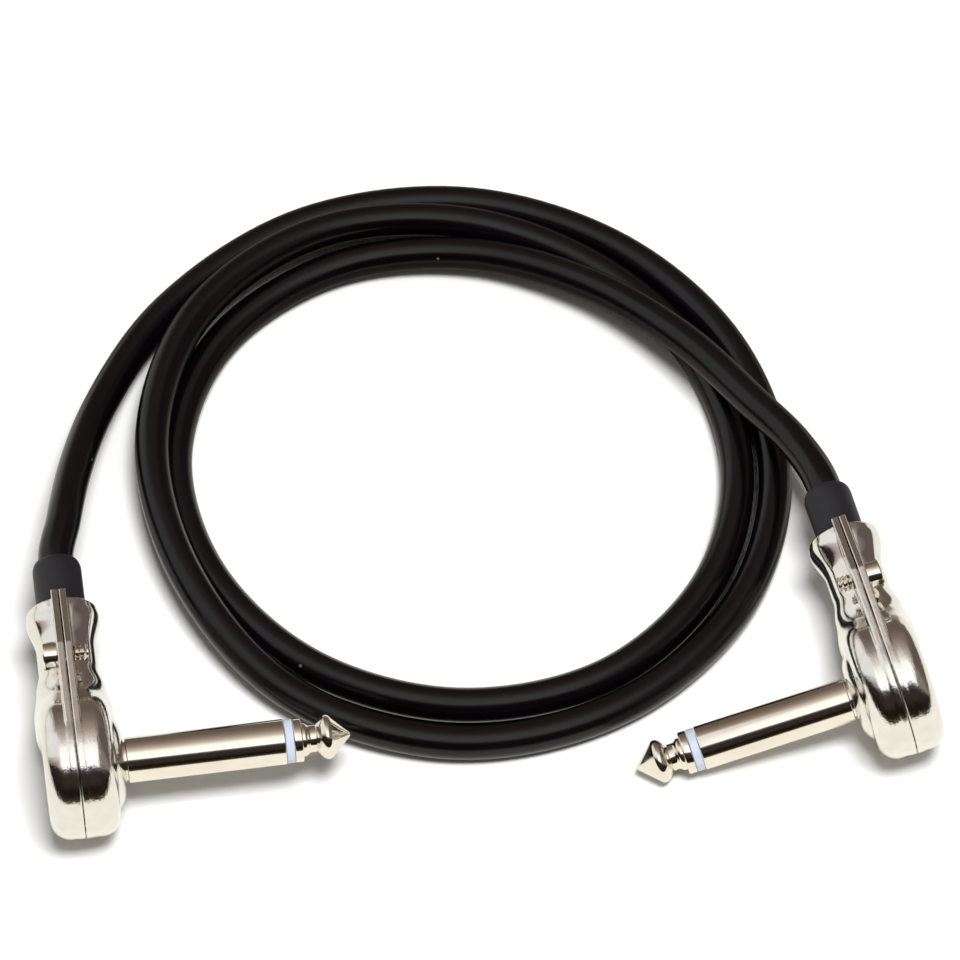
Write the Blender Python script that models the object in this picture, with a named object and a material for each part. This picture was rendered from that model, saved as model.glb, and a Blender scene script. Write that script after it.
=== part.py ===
# Instrument cable: a short lead with a flat right-angle jack plug on each end, lying in a
# loose loop of nearly two and a half turns.
#
# Both plugs are the same product, so every piece of a plug is modelled by one function, in
# the plug's own frame, and made once for each plug:
#   +X  along the jack, towards its tip        (x = 0 is the middle of the round body)
#   +Y  along the neck, towards the cable      (y = 0 is the middle of the round body)
#   +Z  square to both, through the two clamp screws
# World: metres, +Z up, table at z = 0, origin under the middle of the two plugs.

import math

import bpy
import bmesh
from mathutils import Matrix, Vector

for old in list(bpy.data.objects):
    bpy.data.objects.remove(old, do_unlink=True)

mm = 0.001

# ---------------------------------------------------------------- driving dimensions
GAP = 0.3 * mm                     # air between pieces that touch on the real plug

# cable
CABLE_DIAMETER = 5.0 * mm
CORE_DIAMETER = 2.2 * mm           # insulation round the signal wire
WIRE_DIAMETER = 0.9 * mm
BRAID_DIAMETER = 1.0 * mm          # the screen, twisted into a tail

# round body of the plug
BODY_RADIUS = 10.15 * mm
BODY_DEPTH = 9.8 * mm
BODY_ROUNDING = 2.8 * mm
BODY_WALL = 1.2 * mm
SEAM_SHIFT = -0.2 * mm             # the seam lies this far off the middle, on the cover's side
RIDGE = 0.1 * mm                   # how proud the two seam lips stand on the round rim

# lips that the clamp screws pull together
LIP_THICKNESS = 1.0 * mm
LIP_BEND = 14.3 * mm
LIP_HALF_WIDTH = 10.0 * mm         # at the bend, beside the screws
LIP_REACH = 25.0 * mm
LIP_END_HALF_WIDTH = 6.3 * mm
LIP_CORNER = 0.6 * mm

# neck and bell mouth
NECK_START = 5.0 * mm              # inside the round body
NECK_ROOT_RADIUS = 4.85 * mm
NECK_ROOT_END = 11.4 * mm
NECK_FUNNEL_RADIUS = 3.7 * mm      # inside the root, where the cable is stripped
NECK_FUNNEL_END = 10.4 * mm
CLAMP_START = 12.6 * mm            # where the bore grips the jacket
NECK_WAIST_RADIUS = 4.2 * mm
NECK_WAIST_START = 14.8 * mm
NECK_WAIST_END = 18.2 * mm
BELL_RADIUS = 5.2 * mm
BELL_CREST = 22.9 * mm
BELL_REACH = 24.2 * mm
BELL_EDGE_RADIUS = 4.85 * mm
BELL_MOUTH_RADIUS = 4.4 * mm
BELL_FLARE_START = 20.6 * mm

# heat-shrink over the cable
SHRINK_DIAMETER = 6.9 * mm
SHRINK_START = 19.2 * mm
SHRINK_LENGTH = 13.2 * mm
SHRINK_SHOULDER = 1.6 * mm
SHRINK_EDGE = 0.25 * mm            # wall at its far end

# low domed boss that carries the jack
BOSS_RADIUS = 6.5 * mm
BOSS_TOP_RADIUS = 3.95 * mm
BOSS_HEIGHT = 1.3 * mm
BOSS_BULGE = 0.23 * mm             # its flank's swell over a straight cone

# jack: sleeve, insulator and tip
JACK_DIAMETER = 6.35 * mm
JACK_BORE_DIAMETER = 4.8 * mm
SLEEVE_LENGTH = 22.35 * mm         # from the boss's face to the insulating ring
SLEEVE_EDGE = 0.15 * mm
SPIGOT_DIAMETER = 5.6 * mm         # rear of the sleeve, through the boss
SWAGE_SPREAD = 0.9 * mm            # how far its rim is spread behind the wall
SWAGE_THICKNESS = 0.5 * mm
RING_WIDTH = 1.15 * mm
RING_DIAMETER = 6.1 * mm
RING_FIT = 0.12 * mm               # air on each side of the ring
TUBE_DIAMETER = 4.2 * mm           # insulating tube inside the sleeve
COLLAR_WIDTH = 1.25 * mm
COLLAR_DIAMETER = 6.15 * mm
COLLAR_EDGE = 0.2 * mm
GROOVE_WIDTH = 2.25 * mm
GROOVE_EDGE_DIAMETER = 4.7 * mm
GROOVE_DIAMETER = 3.85 * mm
BALL_DIAMETER = 6.25 * mm
BALL_BACK = 1.2 * mm
BALL_ROUNDING = 0.9 * mm
CONE_SLOPE = math.radians(45)
POINT_RADIUS = 0.4 * mm
POINT_HEIGHT = 0.15 * mm
ROD_DIAMETER = 2.0 * mm
RIVET_DIAMETER = 3.8 * mm
RIVET_THICKNESS = 0.5 * mm

# washer and solder tag behind the jack
WASHER_DIAMETER = 8.0 * mm
WASHER_THICKNESS = 0.8 * mm
TAG_DIAMETER = 5.4 * mm
TAG_THICKNESS = 0.4 * mm
TONGUE_WIDTH = 2.2 * mm
TONGUE_REACH = 6.0 * mm

# stripped end of the cable
JACKET_END = 12.2 * mm
CORE_END = 8.6 * mm
SOLDER_RADIUS = 1.2 * mm
SOLDER_HEIGHT = 0.8 * mm
WIRE_CROSSING = ((0.3, 0.4), (0.8, 0.7))  # shares of its way over and of its way along
BRAID_SEAT = (3.2 * mm, 5.0 * mm)  # y and z where the screen is soldered to the base

# clamp screws
SCREW_Y = 14.3 * mm
SCREW_Z = 6.3 * mm
SCREW_HEAD_DIAMETER = 3.9 * mm
SCREW_HEAD_HEIGHT = 2.1 * mm
SCREW_HEAD_ROUNDING = 0.3 * mm
THREAD_DIAMETER = 2.5 * mm
THREAD_STAND_OUT = 2.15 * mm       # past the base's lip
THREAD_POINT = 0.3 * mm
SLOT_WIDTH = 0.7 * mm
SLOT_DEPTH = 0.9 * mm

# how the plugs lie: middle of the body, heading of the jack, rise of the neck
LEFT_PLACE = (-55.48 * mm, -19.07 * mm)
LEFT_HEADING = math.radians(9.65)
LEFT_NECK_RISE = math.radians(3.9)
RIGHT_PLACE = (57.35 * mm, -2.57 * mm)
RIGHT_HEADING = math.radians(195.5)
RIGHT_NECK_RISE = math.radians(4.3)

# the cable's free stretch, read from the photograph. The leads are points (x, y, z) in mm;
# the turns are (radius, height) in mm, one every TURN_STEP degrees round LOOP_MIDDLE.
LEFT_LEAD = [(-60.4, 20.3, 12.1), (-59.8, 30.0, 9.6), (-57.1, 45.2, 5.7)]
LOOP_MIDDLE = (-3.6, 38.8)
FIRST_ANGLE = 150
TURN_STEP = -30
TURNS = [
    (51.8, 3.1), (50.0, 2.6), (47.8, 2.6), (45.7, 2.6), (44.9, 2.6), (45.4, 2.6),
    (46.4, 2.6), (47.3, 2.6), (47.9, 2.7), (47.5, 3.9), (45.6, 6.3), (45.5, 7.1),
    (46.1, 6.8), (45.3, 5.8), (42.6, 4.5), (40.2, 3.2), (39.4, 2.7), (39.9, 2.6),
    (40.9, 2.6), (41.8, 2.6), (41.7, 2.6), (41.5, 2.6), (41.6, 2.6), (42.3, 2.6),
    (42.1, 2.6), (40.0, 3.1), (37.0, 4.2), (35.4, 6.0), (37.2, 8.6),
]
RIGHT_LEAD = [(38.2, 45.6, 10.2), (44.4, 37.5, 11.2)]
FREE_POINT_COUNT = 70              # the drawn points of the free stretch
FINE_PER_SPAN = 12                 # points read between two route points

# how finely round shapes are drawn
DISC_SIDES = 40
NECK_SIDES = 24
JACK_SIDES = 24
SMALL_SIDES = 16
SHARP_ANGLE = math.radians(32)

# ---------------------------------------------------------------- places that follow
DISC_RADIUS = BODY_RADIUS - RIDGE
BODY_FACE = BODY_DEPTH / 2
WALL_INSIDE = BODY_FACE - BODY_WALL
BOSS_FACE = BODY_FACE + BOSS_HEIGHT
COVER_SEAM = SEAM_SHIFT - GAP / 2
BASE_SEAM = SEAM_SHIFT + GAP / 2
COVER_LIP_FACE = COVER_SEAM - LIP_THICKNESS
BASE_LIP_FACE = BASE_SEAM + LIP_THICKNESS

RING_START = BOSS_FACE + SLEEVE_LENGTH
COLLAR_START = RING_START + RING_WIDTH
GROOVE_START = COLLAR_START + COLLAR_WIDTH
BALL_START = GROOVE_START + GROOVE_WIDTH
BALL_CREST = BALL_START + BALL_BACK

SWAGE_BACK = WALL_INSIDE - GAP - SWAGE_THICKNESS
WASHER_BACK = SWAGE_BACK - GAP - WASHER_THICKNESS
TAG_BACK = WASHER_BACK - GAP - TAG_THICKNESS
RIVET_BACK = TAG_BACK - GAP - RIVET_THICKNESS

SHRINK_END = SHRINK_START + SHRINK_LENGTH
CABLE_BORE = CABLE_DIAMETER / 2 + GAP
SHRINK_BORE = SHRINK_DIAMETER / 2 + GAP
CORE_START = JACKET_END - GAP
ROD_BORE = ROD_DIAMETER / 2 + GAP
FAR = 4 * BODY_RADIUS              # reach of a cutter that passes right through

# the right plug leans until its rounded rim and its ball both touch the table: the middles
# of those two roundings, along the jack and out from its axis, and the line under both
RIM_ALONG = BODY_FACE - BODY_ROUNDING
RIM_OUT = DISC_RADIUS - BODY_ROUNDING
BALL_OUT = BALL_DIAMETER / 2 - BALL_ROUNDING
LEAN_REACH = BALL_CREST - RIM_ALONG
LEAN_DROP = RIM_OUT - BALL_OUT
RIGHT_TIP_DROP = (math.atan2(LEAN_DROP, LEAN_REACH)
                  + math.asin((BODY_ROUNDING - BALL_ROUNDING)
                              / math.hypot(LEAN_DROP, LEAN_REACH)))
RIGHT_HEIGHT = (RIM_ALONG * math.sin(RIGHT_TIP_DROP) + RIM_OUT * math.cos(RIGHT_TIP_DROP)
                + BODY_ROUNDING)


# ---------------------------------------------------------------- materials
def material(name, colour, roughness, metallic):
    made = bpy.data.materials.new(name)
    made.use_nodes = True
    shader = made.node_tree.nodes["Principled BSDF"]
    shader.inputs["Base Color"].default_value = (*colour, 1.0)
    shader.inputs["Roughness"].default_value = roughness
    shader.inputs["Metallic"].default_value = metallic
    made.diffuse_color = (*colour, 1.0)
    return made


# ---------------------------------------------------------------- mesh helpers
def scratch(bm):
    """A temporary object that holds one bmesh, with its faces turned outwards."""
    bmesh.ops.recalc_face_normals(bm, faces=bm.faces)
    mesh = bpy.data.meshes.new("shape")
    bm.to_mesh(mesh)
    bm.free()
    made = bpy.data.objects.new("shape", mesh)
    bpy.context.scene.collection.objects.link(made)
    return made


def arc(middle, radius, start, end, steps):
    """Points (along, out) of an arc, its angles in degrees from the along direction."""
    angles = [math.radians(start + (end - start) * step / steps) for step in range(steps + 1)]
    return [(middle[0] + radius * math.cos(angle), middle[1] + radius * math.sin(angle))
            for angle in angles]


def eased(start, end, steps):
    """A smooth step between two (along, out) points, without its first point."""
    points = []
    for step in range(1, steps + 1):
        share = step / steps
        ease = share * share * (3 - 2 * share)
        points.append((start[0] + (end[0] - start[0]) * share,
                       start[1] + (end[1] - start[1]) * ease))
    return points


def turned(profile, sides, along_y=False):
    """Spin an (along, radius) profile round X or Y. One that starts and ends on the axis
    makes a solid; any other is closed on itself and makes a ring."""
    bm = bmesh.new()
    verts = [bm.verts.new((0, along, radius) if along_y else (along, 0, radius))
             for along, radius in profile]
    edges = [bm.edges.new(pair) for pair in zip(verts, verts[1:])]
    if profile[0][1] > 0:
        edges.append(bm.edges.new((verts[-1], verts[0])))
    bmesh.ops.spin(bm, geom=verts + edges, cent=(0, 0, 0), angle=2 * math.pi, steps=sides,
                   axis=(0, 1, 0) if along_y else (1, 0, 0), use_merge=True)
    bmesh.ops.remove_doubles(bm, verts=bm.verts, dist=1e-7)
    return scratch(bm)


def plate(outline, x_from, x_to):
    """A flat plate: a (y, z) outline pulled along X."""
    bm = bmesh.new()
    face = bm.faces.new([bm.verts.new((x_from, y, z)) for y, z in outline])
    pulled = bmesh.ops.extrude_face_region(bm, geom=[face])
    top = [item for item in pulled["geom"] if isinstance(item, bmesh.types.BMVert)]
    bmesh.ops.translate(bm, verts=top, vec=(x_to - x_from, 0, 0))
    return scratch(bm)


def block(low, high):
    """A box between two corners."""
    bm = bmesh.new()
    bmesh.ops.create_cube(bm, size=1)
    bmesh.ops.scale(bm, vec=Vector(high) - Vector(low), verts=bm.verts)
    bmesh.ops.translate(bm, vec=(Vector(low) + Vector(high)) / 2, verts=bm.verts)
    return scratch(bm)


def shifted(shape, y, z):
    shape.data.transform(Matrix.Translation((0, y, z)))
    return shape


def pin(x_from, x_to, radius, sides):
    """A plain round bar along X."""
    return turned([(x_from, 0), (x_from, radius), (x_to, radius), (x_to, 0)], sides)


def tube_ring(start, end, inside, outside, sides, along_y=False):
    """A plain ring or short tube."""
    return turned([(start, inside), (start, outside), (end, outside), (end, inside)],
                  sides, along_y)


def carved(shape, *steps):
    """Union, intersect or subtract tools in order, and keep only the result."""
    for operation, tool in steps:
        modifier = shape.modifiers.new(operation.lower(), "BOOLEAN")
        modifier.operation = operation
        modifier.solver = "EXACT"
        modifier.object = tool
        tool.hide_render = True
        tool.display_type = "WIRE"
    result = bpy.data.meshes.new_from_object(
        shape.evaluated_get(bpy.context.evaluated_depsgraph_get()))
    for used in [shape] + [tool for operation, tool in steps]:
        bpy.data.objects.remove(used, do_unlink=True)
    bm = bmesh.new()
    bm.from_mesh(result)
    bmesh.ops.remove_doubles(bm, verts=bm.verts, dist=1e-7)
    return scratch(bm)


def swept(points, diameter, bevel_resolution):
    """A round wire or tube along points, closed at both ends."""
    data = bpy.data.curves.new("path", "CURVE")
    data.dimensions = "3D"
    data.bevel_depth = diameter / 2
    data.bevel_resolution = bevel_resolution
    data.use_fill_caps = True
    spline = data.splines.new("POLY")
    spline.points.add(len(points) - 1)
    for spot, point in zip(spline.points, points):
        spot.co = (*point, 1)
    spline.use_smooth = True
    made = bpy.data.objects.new("path", data)
    bpy.context.scene.collection.objects.link(made)
    return made


# ---------------------------------------------------------------- casting
def lip_outline():
    """The plate that both halves show at the seam: round about the body, tangent lines to
    a bend beside each screw, then in to the end past the bell mouth."""
    bend_angle = math.atan2(LIP_HALF_WIDTH, LIP_BEND)
    bend_distance = math.hypot(LIP_HALF_WIDTH, LIP_BEND)
    leave = math.degrees(bend_angle + math.acos(BODY_RADIUS / bend_distance))
    round_part = arc((0, 0), BODY_RADIUS, leave, 360 - leave, DISC_SIDES * 2 // 3)
    corner = (LIP_REACH - LIP_CORNER, LIP_END_HALF_WIDTH - LIP_CORNER)
    lower_corner = arc((corner[0], -corner[1]), LIP_CORNER, -90, 0, 3)
    upper_corner = arc(corner, LIP_CORNER, 0, 90, 3)
    return (round_part + [(LIP_BEND, -LIP_HALF_WIDTH)] + lower_corner
            + upper_corner + [(LIP_BEND, LIP_HALF_WIDTH)])


def drum(half_depth, radius, rounding):
    """Profile of a flat round body with rounded rims."""
    steps = 3
    return ([(-half_depth, 0)]
            + arc((rounding - half_depth, radius - rounding), rounding, 180, 90, steps)
            + arc((half_depth - rounding, radius - rounding), rounding, 90, 0, steps)
            + [(half_depth, 0)])


def neck():
    profile = [(NECK_START, 0), (NECK_START, NECK_ROOT_RADIUS),
               (NECK_ROOT_END, NECK_ROOT_RADIUS)]
    profile += eased(profile[-1], (NECK_WAIST_START, NECK_WAIST_RADIUS), 4)
    profile += [(NECK_WAIST_END, NECK_WAIST_RADIUS)]
    profile += eased(profile[-1], (BELL_CREST, BELL_RADIUS), 4)
    profile += [(BELL_REACH, BELL_EDGE_RADIUS), (BELL_REACH, 0)]
    return turned(profile, NECK_SIDES, along_y=True)


def neck_bore():
    step = SHRINK_START - GAP
    profile = [(NECK_START, 0), (NECK_START, NECK_FUNNEL_RADIUS),
               (NECK_FUNNEL_END, NECK_FUNNEL_RADIUS), (CLAMP_START, CABLE_BORE),
               (step, CABLE_BORE), (step, SHRINK_BORE), (BELL_FLARE_START, SHRINK_BORE)]
    profile += eased(profile[-1], (BELL_REACH, BELL_MOUTH_RADIUS), 2)
    profile += [(FAR, BELL_MOUTH_RADIUS), (FAR, 0)]
    return turned(profile, NECK_SIDES, along_y=True)


def boss():
    """A low dome, cut flat where the jack's shoulder sits."""
    foot = Vector((BODY_FACE, BOSS_RADIUS))
    top = Vector((BOSS_FACE, BOSS_TOP_RADIUS))
    outwards = Vector((foot.y - top.y, top.x - foot.x)).normalized()
    root = (WALL_INSIDE + BODY_FACE) / 2
    profile = [(root, 0), (root, BOSS_RADIUS)]
    flank_steps = 5
    for step in range(flank_steps + 1):
        share = step / flank_steps
        swell = 4 * BOSS_BULGE * share * (1 - share)
        profile.append(tuple(foot.lerp(top, share) + outwards * swell))
    profile.append((BOSS_FACE, 0))
    return turned(profile, NECK_SIDES)


def casting(x_from, x_to):
    """The hollow body, neck and lips in one, cut to the half between two places along X."""
    inner_radius = DISC_RADIUS - BODY_WALL
    steps = [
        ("UNION", neck()),
        ("UNION", plate(lip_outline(), COVER_LIP_FACE, BASE_LIP_FACE)),
        ("UNION", boss()),
        ("DIFFERENCE", turned(drum(WALL_INSIDE, inner_radius, BODY_ROUNDING - BODY_WALL),
                              DISC_SIDES)),
        ("DIFFERENCE", neck_bore()),
        ("DIFFERENCE", pin(0, FAR, SPIGOT_DIAMETER / 2 + GAP, JACK_SIDES)),
    ]
    for z in (SCREW_Z, -SCREW_Z):
        hole = pin(-FAR, FAR, THREAD_DIAMETER / 2 + GAP, SMALL_SIDES)
        steps.append(("DIFFERENCE", shifted(hole, SCREW_Y, z)))
    steps.append(("INTERSECT", block((x_from, -FAR, -FAR), (x_to, FAR, FAR))))
    return carved(turned(drum(BODY_FACE, DISC_RADIUS, BODY_ROUNDING), DISC_SIDES), *steps)


def base_shell():
    return casting(BASE_SEAM, FAR)


def cover_shell():
    return casting(-FAR, COVER_SEAM)


# ---------------------------------------------------------------- fasteners
def clamp_screw(z):
    seat = COVER_LIP_FACE - GAP
    top = seat - SCREW_HEAD_HEIGHT
    end = BASE_LIP_FACE + THREAD_STAND_OUT
    head = SCREW_HEAD_DIAMETER / 2
    thread = THREAD_DIAMETER / 2
    profile = [(top, 0)]
    profile += arc((top + SCREW_HEAD_ROUNDING, head - SCREW_HEAD_ROUNDING),
                   SCREW_HEAD_ROUNDING, 180, 90, 3)
    profile += [(seat, head), (seat, thread), (end - THREAD_POINT, thread),
                (end, thread - THREAD_POINT), (end, 0)]
    slot = block((top - SLOT_DEPTH, -head * 2, -SLOT_WIDTH / 2),
                 (top + SLOT_DEPTH, head * 2, SLOT_WIDTH / 2))
    screw = carved(turned(profile, SMALL_SIDES), ("DIFFERENCE", slot))
    return shifted(screw, SCREW_Y, z)


def upper_screw():
    return clamp_screw(SCREW_Z)


def lower_screw():
    return clamp_screw(-SCREW_Z)


# ---------------------------------------------------------------- jack
def jack_sleeve():
    shoulder = BOSS_FACE + GAP
    front = RING_START - RING_FIT
    radius = JACK_DIAMETER / 2
    spigot = SPIGOT_DIAMETER / 2
    bore = JACK_BORE_DIAMETER / 2
    swage_front = SWAGE_BACK + SWAGE_THICKNESS
    return turned([
        (SWAGE_BACK, bore), (SWAGE_BACK, spigot + SWAGE_SPREAD),
        (swage_front, spigot + SWAGE_SPREAD), (swage_front, spigot),
        (shoulder, spigot), (shoulder, radius - SLEEVE_EDGE),
        (shoulder + SLEEVE_EDGE, radius), (front - SLEEVE_EDGE, radius),
        (front, radius - SLEEVE_EDGE), (front, bore)], JACK_SIDES)


def jack_insulator():
    tube = TUBE_DIAMETER / 2
    ring = RING_DIAMETER / 2
    return turned([
        (SWAGE_BACK, ROD_BORE), (SWAGE_BACK, tube), (RING_START, tube),
        (RING_START, ring), (COLLAR_START, ring), (COLLAR_START, ROD_BORE)], JACK_SIDES)


def jack_tip():
    """Rivet head, rod, collar, latching groove, ball and blunt cone, in one turned pin."""
    rivet = RIVET_DIAMETER / 2
    rod = ROD_DIAMETER / 2
    collar = COLLAR_DIAMETER / 2
    rim = GROOVE_EDGE_DIAMETER / 2
    dip = rim - GROOVE_DIAMETER / 2
    ball = BALL_DIAMETER / 2
    collar_back = COLLAR_START + RING_FIT
    rivet_front = RIVET_BACK + RIVET_THICKNESS
    profile = [(RIVET_BACK, 0), (RIVET_BACK, rivet), (rivet_front, rivet), (rivet_front, rod),
               (collar_back, rod), (collar_back, collar - COLLAR_EDGE),
               (collar_back + COLLAR_EDGE, collar), (GROOVE_START - COLLAR_EDGE, collar),
               (GROOVE_START, collar - COLLAR_EDGE)]
    groove_steps = 5
    for step in range(groove_steps + 1):
        share = step / groove_steps
        profile.append((GROOVE_START + GROOVE_WIDTH * share,
                        rim - dip * math.sin(math.pi * share)))
    back_steps = 2
    for step in range(1, back_steps + 1):
        share = step / back_steps
        profile.append((BALL_START + BALL_BACK * share,
                        rim + (ball - rim) * math.sin(math.pi / 2 * share)))
    profile += arc((BALL_CREST, ball - BALL_ROUNDING), BALL_ROUNDING,
                   90, 90 - math.degrees(CONE_SLOPE), 3)[1:]
    foot_x, foot_radius = profile[-1]
    point_x = foot_x + (foot_radius - POINT_RADIUS) / math.tan(CONE_SLOPE)
    profile += [(point_x, POINT_RADIUS), (point_x + POINT_HEIGHT, POINT_RADIUS / 2),
                (point_x + POINT_HEIGHT, 0)]
    return turned(profile, JACK_SIDES)


def rear_washer():
    return tube_ring(WASHER_BACK, WASHER_BACK + WASHER_THICKNESS, ROD_BORE,
                     WASHER_DIAMETER / 2, JACK_SIDES)


def solder_tag():
    half = TONGUE_WIDTH / 2
    radius = TAG_DIAMETER / 2
    leave = math.degrees(math.asin(half / radius))
    outline = arc((0, 0), radius, leave, 360 - leave, SMALL_SIDES)
    outline += arc((TONGUE_REACH - half, 0), half, -90, 90, SMALL_SIDES // 2)
    tag = plate(outline, TAG_BACK, TAG_BACK + TAG_THICKNESS)
    return carved(tag, ("DIFFERENCE", pin(-FAR, FAR, ROD_BORE, SMALL_SIDES)))


# ---------------------------------------------------------------- cable end
def heat_shrink():
    radius = SHRINK_DIAMETER / 2
    edge = CABLE_BORE + SHRINK_EDGE
    shoulder_steps = 3
    profile = [(SHRINK_START, CABLE_BORE), (SHRINK_START, radius)]
    for step in range(shoulder_steps + 1):
        angle = math.pi / 2 * step / shoulder_steps
        profile.append((SHRINK_END + SHRINK_SHOULDER * (math.sin(angle) - 1),
                        edge + (radius - edge) * math.cos(angle)))
    profile.append((SHRINK_END, CABLE_BORE))
    return turned(profile, JACK_SIDES, along_y=True)


def core_insulation():
    return tube_ring(CORE_END, CORE_START, WIRE_DIAMETER / 2 + GAP, CORE_DIAMETER / 2,
                     SMALL_SIDES, along_y=True)


def solder_dome(face):
    """A drop of solder that sits 0.3 mm off a face and bulges towards -X."""
    flat = face - GAP
    profile = [(flat, 0)]
    dome_steps = 3
    for step in range(dome_steps + 1):
        angle = math.pi / 2 * step / dome_steps
        profile.append((flat - SOLDER_HEIGHT * math.sin(angle),
                        SOLDER_RADIUS * math.cos(angle) if step < dome_steps else 0))
    return turned(profile, SMALL_SIDES)


def tip_solder():
    return shifted(solder_dome(TAG_BACK), TONGUE_REACH - TONGUE_WIDTH / 2, 0)


def shield_solder():
    return shifted(solder_dome(WALL_INSIDE), *BRAID_SEAT)


def signal_wire():
    """Straight through the core, then over to the solder on the tag's tongue."""
    level = TAG_BACK - GAP - SOLDER_HEIGHT / 2
    end = TONGUE_REACH - TONGUE_WIDTH / 2 + SOLDER_RADIUS + GAP
    knee = end + WIRE_DIAMETER
    crossing = [(level * across, CORE_END + (knee - CORE_END) * along, 0)
                for across, along in WIRE_CROSSING]
    points = ([(0, CORE_START, 0), (0, (CORE_START + CORE_END) / 2, 0), (0, CORE_END, 0)]
              + crossing + [(level, knee, 0), (level, end, 0)])
    return swept(points, WIRE_DIAMETER, 1)


def shield_pigtail():
    """The screen, bent from beside the core to the solder on the base's inner wall."""
    side = (CORE_DIAMETER + BRAID_DIAMETER) / 2 + GAP
    seat_y, seat_z = BRAID_SEAT
    end = WALL_INSIDE - GAP - SOLDER_HEIGHT - GAP
    points = [(0, CORE_START, side), (0, CORE_START - BRAID_DIAMETER, side)]
    bend = Vector((0, NECK_FUNNEL_END - BRAID_DIAMETER, side))
    knee = Vector((end / 4, seat_y + BRAID_DIAMETER, seat_z - BRAID_DIAMETER / 2))
    points += [bend.lerp(knee, share) for share in (0, 0.25, 0.5, 0.75, 1)]
    points += [(end - BRAID_DIAMETER, seat_y, seat_z), (end, seat_y, seat_z)]
    return swept(points, BRAID_DIAMETER, 1)


# ---------------------------------------------------------------- cable route
def loop_points():
    """The turns, from one radius and height every TURN_STEP degrees."""
    points = []
    for number, (radius, height) in enumerate(TURNS):
        angle = math.radians(FIRST_ANGLE + TURN_STEP * number)
        points.append(Vector((LOOP_MIDDLE[0] + radius * math.cos(angle),
                              LOOP_MIDDLE[1] + radius * math.sin(angle), height)) * mm)
    return points


def smooth(points, start_direction, end_direction):
    """A smooth curve through points: cubic spans whose slope at each point comes from its
    two neighbours, weighted by their distance."""
    lengths = [(b - a).length for a, b in zip(points, points[1:])]
    slopes = [(b - a) / length for a, b, length in zip(points, points[1:], lengths)]
    tangents = [start_direction]
    for before, after, s_before, s_after in zip(lengths, lengths[1:], slopes, slopes[1:]):
        tangents.append((s_before * after + s_after * before) / (before + after))
    tangents.append(end_direction)
    fine = []
    for number, length in enumerate(lengths):
        a, b = points[number], points[number + 1]
        slope_a, slope_b = tangents[number] * length, tangents[number + 1] * length
        for step in range(FINE_PER_SPAN):
            u = step / FINE_PER_SPAN
            fine.append(a * (2 * u**3 - 3 * u**2 + 1) + slope_a * (u**3 - 2 * u**2 + u)
                        + b * (3 * u**2 - 2 * u**3) + slope_b * (u**3 - u**2))
    fine.append(points[-1])
    return fine


def evenly(points, count):
    """The same path as count points at equal distances."""
    reached = [0.0]
    for a, b in zip(points, points[1:]):
        reached.append(reached[-1] + (b - a).length)
    even = []
    span = 0
    for number in range(count):
        target = reached[-1] * number / (count - 1)
        while span < len(points) - 2 and reached[span + 1] < target:
            span += 1
        share = (target - reached[span]) / (reached[span + 1] - reached[span])
        even.append(points[span].lerp(points[span + 1], share))
    return even, reached[-1]


def least_gap(points, diameter):
    """The least air between stretches of the tube that aren't neighbours along it."""
    neighbour = 4 * diameter
    reached = [0.0]
    for a, b in zip(points, points[1:]):
        reached.append(reached[-1] + (b - a).length)
    least = FAR
    for i, a in enumerate(points):
        for j in range(i + 1, len(points)):
            if reached[j] - reached[i] > neighbour:
                least = min(least, (points[j] - a).length)
    return least - diameter


def cable_route(left, right):
    """From inside one neck, straight out of its heat-shrink, round the loop and into the
    other neck. left and right are the plugs' matrices."""
    inner = [JACKET_END, (JACKET_END + SHRINK_END) / 2]
    left_exit = left @ Vector((0, SHRINK_END, 0))
    right_exit = right @ Vector((0, SHRINK_END, 0))
    stations = ([left_exit] + [Vector(point) * mm for point in LEFT_LEAD] + loop_points()
                + [Vector(point) * mm for point in RIGHT_LEAD] + [right_exit])
    left_axis = left.to_3x3() @ Vector((0, 1, 0))
    right_axis = right.to_3x3() @ Vector((0, 1, 0))
    fine = smooth(stations, left_axis, -right_axis)
    free, free_length = evenly(fine, FREE_POINT_COUNT)
    points = ([left @ Vector((0, y, 0)) for y in inner] + free
              + [right @ Vector((0, y, 0)) for y in reversed(inner)])
    length = free_length + 2 * (SHRINK_END - JACKET_END)
    print("cable: %.1f mm long, %d points, least gap to itself %.2f mm, lowest %.2f mm" % (
        length / mm, len(points), least_gap(fine, CABLE_DIAMETER) / mm,
        (min(point.z for point in points) - CABLE_DIAMETER / 2) / mm))
    return points


# ---------------------------------------------------------------- assembly
NICKEL_CAST = material("nickel_plated_casting", (0.78, 0.75, 0.69), 0.2, 1.0)
NICKEL_TURNED = material("nickel_plated_brass", (0.80, 0.76, 0.69), 0.12, 1.0)
SCREW_STEEL = material("screw_steel", (0.74, 0.72, 0.67), 0.22, 1.0)
RING_PLASTIC = material("white_insulator", (0.80, 0.84, 0.93), 0.35, 0.0)
WASHER_FIBRE = material("brown_fibre", (0.24, 0.12, 0.06), 0.7, 0.0)
TAG_BRASS = material("tinned_brass", (0.75, 0.70, 0.58), 0.35, 1.0)
SOLDER = material("solder", (0.66, 0.66, 0.67), 0.3, 1.0)
SHRINK_BLACK = material("heat_shrink_black", (0.025, 0.024, 0.027), 0.65, 0.0)
JACKET_BLACK = material("jacket_black", (0.018, 0.015, 0.018), 0.38, 0.0)
CORE_CLEAR = material("core_polythene", (0.82, 0.82, 0.80), 0.4, 0.0)
COPPER = material("copper_strands", (0.80, 0.42, 0.25), 0.3, 1.0)
TINNED_BRAID = material("tinned_screen", (0.70, 0.66, 0.60), 0.4, 1.0)

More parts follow.
